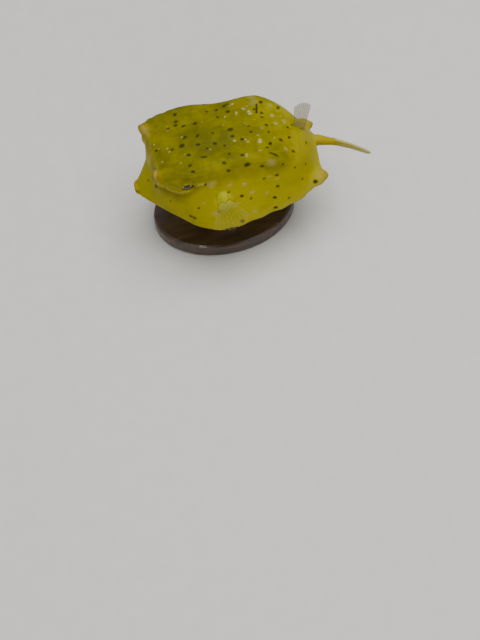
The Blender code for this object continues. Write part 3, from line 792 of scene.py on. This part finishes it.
# Over the rim: the lid and crest tints are painted highlights, the groove and slit tints are painted
# shade, and the sparks are pale specks that are partly painted glints.
OVER_RIM = (
    ("under", 0.6, PALE), ("lobe", 0.85, LOBE), ("groove", 0.40, SHADE), ("lid", 0.32, PALE),
    ("stalk", 0.75, AMBER), ("tips", 0.35, ORANGE), ("snout", 0.35, ORANGE), ("edge_highlight", 0.30, HIGHLIGHT_PINK),
    ("slit", 0.45, SLIT_SHADE), ("specks_and_glints", 0.68, SPECK_AND_GLINT), ("dots", 0.96, DOT),
)
print(len(UNDER_RIM) + len(OVER_RIM), "tints to lay over the skin's own colour")

# %% [markdown]
# Each tint is mixed over the last, as a painter glazes, so the marks end up on top of the broad
# tints. The noise sizes suit a fish of this length: mottling of about two and six millimetres,
# fine streaks along the body, and a grain that is finer still and only shows in the bump.

# %% Paint the skin
skin_look, start, shader = new_material("fish_skin")
where = start.node("ShaderNodeTexCoord", output=3)
mottle = start.noise(where, 620.0, 4.0, 0.62).between(0.34, 0.68)
broad = start.noise(where, 170.0, 2.0, 0.5).between(0.36, 0.66)
streak_space = start.node("ShaderNodeMapping", {}, {"Vector": where, "Scale": (500.0, 1500.0, 1500.0)})
streaks = start.noise(streak_space, 1.0, 3.0, 0.6).between(0.40, 0.70)
backward = start.attribute("back")
tone = backward * 0.70 + 0.10 + (broad - 0.5) * 0.24 + (mottle - 0.5) * 0.20
base = tone.between(0.0, 1.0).mix(BRIGHT, OLIVE)
base = (streaks * STREAK_SHARE).mix(base, YELLOW)
for name, share, laid in UNDER_RIM:
    base = (start.attribute(name) * share).mix(base, laid)
base = (start.attribute("rim") * (0.06 + 0.2 * mottle)).mix(base, PALE)
for name, share, laid in OVER_RIM:
    base = (start.attribute(name) * share).mix(base, laid)
feed(shader, "Base Color", base)
feed(shader, "Roughness", 0.55)
feed(shader, "Specular IOR Level", 0.07)
feed(shader, "Subsurface Weight", 0.10)
feed(shader, "Subsurface Radius", (0.0010, 0.0007, 0.0001))
grain = start.noise(where, 2600.0, 3.0, 0.6)
feed(shader, "Normal", bump(grain + mottle * 0.8, 0.16, 0.00016))
skin.data.materials.clear()
skin.data.materials.append(skin_look)
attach(skin, "root")
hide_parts(*FLESH)
print("skin finished")

# %% [markdown]
# A fin is a thin, see-through web over fine rays. Each is made again here from the same few sizes
# as in the solid model, but thinner and with round rays that stand out on both faces. The web is
# partly transparent, and the rays are less so.


# %% Helpers for fins
def fan_points(sizes, side, columns, rows):
    """The middle surface of a fan fin as a grid of points, from its root line to its scalloped edge."""
    centre = place(*mirrored(sizes["place"], side))
    outward = Vector(mirrored(sizes["outward"], side)).normalized()
    along = Vector(mirrored(sizes["along"], side))
    along = (along - outward * along.dot(outward)).normalized()
    first, last = sizes["spread"]
    bulge = Vector(mirrored(sizes["bulge"], side))
    grid = []
    for share in np.linspace(0, 1, columns):
        root = centre + along * sizes["half_root"] * (2 * share - 1)
        angle = math.radians(first + (last - first) * share)
        way = along * math.sin(angle) + outward * math.cos(angle)
        rounded = 0.80 + 0.20 * math.sin(math.pi * (0.12 + 0.76 * share))
        notch = 1 - 0.02 * math.cos(2 * math.pi * sizes["rays"] * share)
        end = root + way * sizes["length"] * rounded * notch
        column = []
        for step in np.linspace(0, 1, rows):
            swell = bulge * math.sin(math.pi * step) * math.sin(math.pi * share)
            column.append(root.lerp(end, step) + swell)
        grid.append(column)
    return grid


def ray_strength(share, rays):
    """1 on a ray and 0 midway between two, for a share across the fin."""
    return abs(math.cos(math.pi * (share * rays - 0.5))) ** 6


def web_mesh(name, grid, rays, half, rise):
    """A closed thin sheet over a grid of points, with rays raised on both faces."""
    work = bmesh.new()
    columns, rows = len(grid), len(grid[0])
    faces = {1: [], -1: []}
    strength = []
    for c in range(columns):
        share = c / (columns - 1)
        for way in (1, -1):
            faces[way].append([])
        for r in range(rows):
            along = grid[c][min(r + 1, rows - 1)] - grid[c][max(r - 1, 0)]
            across = grid[min(c + 1, columns - 1)][r] - grid[max(c - 1, 0)][r]
            normal = along.cross(across).normalized()
            on_ray = ray_strength(share, rays)
            thick = half * (1 - 0.4 * r / (rows - 1)) + rise * on_ray * (1 - 0.6 * r / (rows - 1))
            for way in (1, -1):
                faces[way][c].append(work.verts.new(grid[c][r] + normal * thick * way))
                strength.append(on_ray)
    for way in (1, -1):
        for c in range(columns - 1):
            for r in range(rows - 1):
                near, far = faces[way][c], faces[way][c + 1]
                work.faces.new((near[r], far[r], far[r + 1], near[r + 1]))
    rim_of = [(c, 0) for c in range(columns)] + [(columns - 1, r) for r in range(1, rows)]
    rim_of += [(c, rows - 1) for c in range(columns - 2, -1, -1)]
    rim_of += [(0, r) for r in range(rows - 2, 0, -1)]
    for (c, r), (c2, r2) in zip(rim_of, rim_of[1:] + rim_of[:1]):
        work.faces.new((faces[1][c][r], faces[1][c2][r2], faces[-1][c2][r2], faces[-1][c][r]))
    bmesh.ops.recalc_face_normals(work, faces=work.faces)
    mesh = bpy.data.meshes.new(name)
    work.to_mesh(mesh)
    work.free()
    mesh.shade_smooth()
    store(mesh, "rays", strength)
    store(mesh, "outness", np.tile(np.repeat(np.linspace(0, 1, rows), 2), columns))
    return mesh


def fin_material(name, root_colour, edge_colour, clear, ray_cover):
    """A see-through web with more solid rays. Clear is how much light the web lets by at its edge."""
    made, start, shader = new_material(name)
    ray = start.attribute("rays")
    out = start.attribute("outness")
    feed(shader, "Base Color", (out * 0.9 + ray * -0.15).mix(root_colour, edge_colour))
    feed(shader, "Roughness", 0.35)
    solid = (1.0 - out.between(-0.15, 0.45) * clear) + ray * ray_cover * (1.0 - out * 0.5)
    feed(shader, "Alpha", solid.maths("MINIMUM", solid, 1.0))
    return made


print("fin helpers are ready")

# %% [markdown]
# The pectoral fins fan down the sloping sides from a fleshy, bright yellow lobe. The dorsal fin
# leans to the fish's right, as it sculls, and the anal fin is tucked below the tail's root. They
# are all very clear.

# %% Fan fins
ARM_FIN = dict(
    place=(42.4, 29.4, 18.4), outward=(0.05, 0.60, -0.80), along=(1.0, 0.0, 0.0), half_root=0.0010,
    spread=(-30, 40), length=0.0058, rays=9, bulge=(0.0, 0.0, 0.0003),
)
BACK_FIN = dict(
    place=(89.5, 0.2, 25.0), outward=(0.24, 0.42, 0.87), along=(0.80, 0.0, -0.60), half_root=0.0012,
    spread=(-6, 9), length=0.0056, rays=8, bulge=(0.0, 0.0002, 0.0),
)
BELLY_FIN = dict(
    place=(88.0, 0.0, 2.4), outward=(0.50, 0.08, -0.86), along=(0.94, 0.0, 0.34), half_root=0.0013,
    spread=(-30, 34), length=0.0034, rays=8, bulge=(0.0, 0.0002, 0.0),
)
WEB_HALF = 0.00008
RAY_RISE = 0.00006
COLUMNS_A_RAY = 12
FAN_ROWS = 24
ROOT_YELLOW = colour(0.36, 0.34, 0.010)
EDGE_CLEAR = colour(0.26, 0.23, 0.06)
ROOT_OLIVE = colour(0.21, 0.18, 0.010)
EDGE_GREY = colour(0.26, 0.21, 0.08)
arm_web = fin_material("arm_web", ROOT_YELLOW, EDGE_CLEAR, 0.93, 0.16)
back_web = fin_material("back_web", ROOT_OLIVE, EDGE_GREY, 0.66, 0.22)
for node, sizes, side, look in (
    ("pectoral_fin_left", ARM_FIN, -1, arm_web), ("pectoral_fin_right", ARM_FIN, 1, arm_web),
    ("dorsal_fin", BACK_FIN, 1, back_web), ("anal_fin", BELLY_FIN, 1, back_web),
):
    grid = fan_points(sizes, side, COLUMNS_A_RAY * sizes["rays"] + 1, FAN_ROWS)
    mesh = web_mesh(node + "_web", grid, sizes["rays"], WEB_HALF, RAY_RISE)
    fin = bpy.data.objects.new(node + "_web", mesh)
    bpy.context.scene.collection.objects.link(fin)
    mesh.materials.append(look)
    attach(fin, "root")
    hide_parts(node)
    print(node, len(mesh.polygons), "faces")

# %% [markdown]
# The tail fin is closed to a brush and trails to the fish's left, so it is a narrow grid along a
# bent line. It is yellow at its root like the stalk and clearer towards its end.

# %% The tail fin
TAIL_SWING = (
    (96, 0.9), (98.5, 0.5), (102.3, -1.1), (107.6, -3.5), (114.3, -7.9), (120.4, -12.8), (128, -19.1),
)
TAIL_HEIGHT = 11.0
TAIL_CLIMB = 0.02
SHELL_END = 97.2
TAIL_FIN_START = 107.9
TAIL_FIN_END = 123.5
TAIL_FIN_ROOT = 4.8
TAIL_FIN_TIP = 3.2
TAIL_FIN_SINK = 0.9
TAIL_RAYS = 9
TAIL_ROWS = 30
TAIL_ROUNDING = 0.16
TAIL_HALF = 0.00022
TAIL_RAY_RISE = 0.00007


def tail_point(station, up):
    across = float(np.interp(station, *np.array(TAIL_SWING).T))
    return place(station, across, TAIL_HEIGHT + TAIL_CLIMB * (station - SHELL_END) + up)


grid = []
first = TAIL_FIN_START - TAIL_FIN_SINK
for share in np.linspace(0, 1, COLUMNS_A_RAY * TAIL_RAYS + 1):
    shortened = 1 - TAIL_ROUNDING * abs(2 * share - 1) ** 2
    last = TAIL_FIN_START + (TAIL_FIN_END - TAIL_FIN_START) * shortened
    column = []
    for step in np.linspace(0, 1, TAIL_ROWS):
        spread = TAIL_FIN_ROOT + (TAIL_FIN_TIP - TAIL_FIN_ROOT) * step
        column.append(tail_point(first + (last - first) * step, (share - 0.5) * spread))
    grid.append(column)
mesh = web_mesh("tail_fin_web", grid, TAIL_RAYS, TAIL_HALF, TAIL_RAY_RISE)
tail_fin = bpy.data.objects.new("tail_fin_web", mesh)
bpy.context.scene.collection.objects.link(tail_fin)
tail_web = fin_material("tail_web", colour(0.39, 0.32, 0.012), colour(0.43, 0.38, 0.09), 0.22, 0.10)
mesh.materials.append(tail_web)
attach(tail_fin, "root")
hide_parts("tail_fin")
print("tail fin", len(mesh.polygons), "faces")

# %% [markdown]
# Each eye is a ball that fills its lids: a nearly black pupil, a thin gold ring round it and an
# olive outer part, under a clear wet coat. The clear front bulges a little. The rings are painted
# by the angle from the way the eye looks, which keeps them round without any texture.

# %% The eyes
EYE_CENTRE = (24.6, 18.3, 29.6)
EYE_RADIUS = 4.5
EYE_WAY = (-0.06, 1.0, 0.12)
EYE_FILL = 0.35
CORNEA_RISE = 0.04
PUPIL_ANGLE = math.radians(22)
IRIS_ANGLE = math.radians(50)
PUPIL = colour(0.004, 0.004, 0.006)
GOLD = colour(0.44, 0.34, 0.11)
IRIS_LIGHT = colour(0.34, 0.24, 0.05)
IRIS_DARK = colour(0.10, 0.075, 0.01)
EYE_OLIVE = colour(0.12, 0.10, 0.012)
for node, side in (("eye_left", -1), ("eye_right", 1)):
    work = bmesh.new()
    radius = (EYE_RADIUS + EYE_FILL) * PER_CENT
    bmesh.ops.create_uvsphere(work, u_segments=96, v_segments=64, radius=radius)
    mesh = bpy.data.meshes.new(node + "_ball")
    work.to_mesh(mesh)
    work.free()
    centre = place(*mirrored(EYE_CENTRE, side))
    way = Vector(mirrored(EYE_WAY, side)).normalized()
    ball = coordinates(mesh)
    facing = (ball / np.linalg.norm(ball, axis=1)[:, None]) @ np.array(way)
    angle = np.arccos(np.clip(facing, -1, 1))
    cornea = np.clip(1 - angle / IRIS_ANGLE, 0, 1)
    set_coordinates(mesh, ball * (1 + CORNEA_RISE * np.sqrt(cornea))[:, None] + np.array(centre))
    store(mesh, "angle", angle)
    mesh.shade_smooth()
    eye = bpy.data.objects.new(node + "_ball", mesh)
    bpy.context.scene.collection.objects.link(eye)
    look, start, shader = new_material(node + "_look")
    turn = start.attribute("angle")
    fibres = start.noise(start.node("ShaderNodeTexCoord", output=3), 5000.0, 2.0)
    iris = (fibres * 0.6).mix(IRIS_LIGHT, IRIS_DARK)
    ring = turn.between(PUPIL_ANGLE + 0.02, PUPIL_ANGLE + 0.12).mix(GOLD, iris)
    inner = turn.between(PUPIL_ANGLE - 0.02, PUPIL_ANGLE + 0.02).mix(PUPIL, ring)
    feed(shader, "Base Color", turn.between(IRIS_ANGLE, IRIS_ANGLE + 0.2).mix(inner, EYE_OLIVE))
    feed(shader, "Roughness", 0.14)
    feed(shader, "Specular IOR Level", 0.25)
    feed(shader, "Coat Weight", 0.35)
    feed(shader, "Coat Roughness", 0.04)
    mesh.materials.append(look)
    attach(eye, "root")
    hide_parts(node)
    print(node, "made")

# %% [markdown]
# The stand's solids already have their true shape, so they only get materials: dark lacquered
# wood with a fine grain along its length for the base, and turned steel for the rod.

# %% The stand
wood, start, shader = new_material("dark_wood")
where = start.node("ShaderNodeTexCoord", output=3)
long_grain = start.node("ShaderNodeMapping", {}, {"Vector": where, "Scale": (120.0, 900.0, 900.0)})
grain = start.noise(long_grain, 1.0, 4.0, 0.6)
WOOD_DARK = colour(0.030, 0.014, 0.007)
WOOD_LIGHT = colour(0.075, 0.036, 0.018)
feed(shader, "Base Color", grain.between(0.35, 0.7).mix(WOOD_DARK, WOOD_LIGHT))
feed(shader, "Roughness", 0.38)
feed(shader, "Coat Weight", 0.4)
feed(shader, "Coat Roughness", 0.12)
feed(shader, "Normal", bump(grain, 0.08, 0.0001))
steel, start, shader = new_material("turned_steel")
where = start.node("ShaderNodeTexCoord", output=3)
rings = start.node("ShaderNodeMapping", {}, {"Vector": where, "Scale": (60.0, 60.0, 9000.0)})
turned_marks = start.noise(rings, 1.0, 2.0)
feed(shader, "Base Color", colour(0.56, 0.56, 0.57))
feed(shader, "Metallic", 1.0)
feed(shader, "Roughness", turned_marks.between(0.2, 0.8, 0.22, 0.36))
for node, look in (("stand_base", wood), ("stand_rod", steel)):
    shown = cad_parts[node]
    shown.data.materials.clear()
    shown.data.materials.append(look)
print("stand finished")

# %% [markdown]
# The set is a plain pale floor and soft light, such as a museum's photographer would use. The
# photo's light comes from nearly overhead, so a large soft lamp hangs above the fish, and a weak
# second one fills the side that faces the camera.

# %% Floor and light
FLOOR_HALF = 1.5
FLOOR_DROP = 0.00001
floor_mesh = bpy.data.meshes.new("floor")
work = bmesh.new()
bmesh.ops.create_grid(work, x_segments=1, y_segments=1, size=FLOOR_HALF)
work.to_mesh(floor_mesh)
work.free()
floor = bpy.data.objects.new("floor", floor_mesh)
bpy.context.scene.collection.objects.link(floor)
floor.location = (0, 0, -FLOOR_DROP)
floor_look, start, shader = new_material("pale_floor")
speckle = start.noise(start.node("ShaderNodeTexCoord", output=3), 300.0, 3.0)
feed(shader, "Base Color", speckle.mix(colour(0.60, 0.58, 0.55), colour(0.66, 0.64, 0.61)))
feed(shader, "Roughness", 0.85)
floor_mesh.materials.append(floor_look)


LAMP_SIZE = 0.30
FISH_MIDDLE = Vector((0, 0, 0.015))
SKY = colour(0.93, 0.96, 1.0)
SKY_STRENGTH = 0.42


def area_lamp(name, where_from, power):
    """A square soft lamp that shines on the middle of the fish."""
    light = bpy.data.lights.new(name, "AREA")
    light.size = LAMP_SIZE
    light.energy = power
    lamp = bpy.data.objects.new(name, light)
    bpy.context.scene.collection.objects.link(lamp)
    lamp.location = where_from
    lamp.rotation_euler = (FISH_MIDDLE - Vector(where_from)).to_track_quat("-Z", "Y").to_euler()


area_lamp("main_light", (0.05, 0.00, 0.42), 2.0)
area_lamp("fill_light", (-0.06, -0.36, 0.22), 0.35)
world = bpy.data.worlds.new("studio")
world.use_nodes = True
sky = world.node_tree.nodes["Background"].inputs
sky["Color"].default_value = SKY
sky["Strength"].default_value = SKY_STRENGTH
bpy.context.scene.world = world
print("floor and light are set")
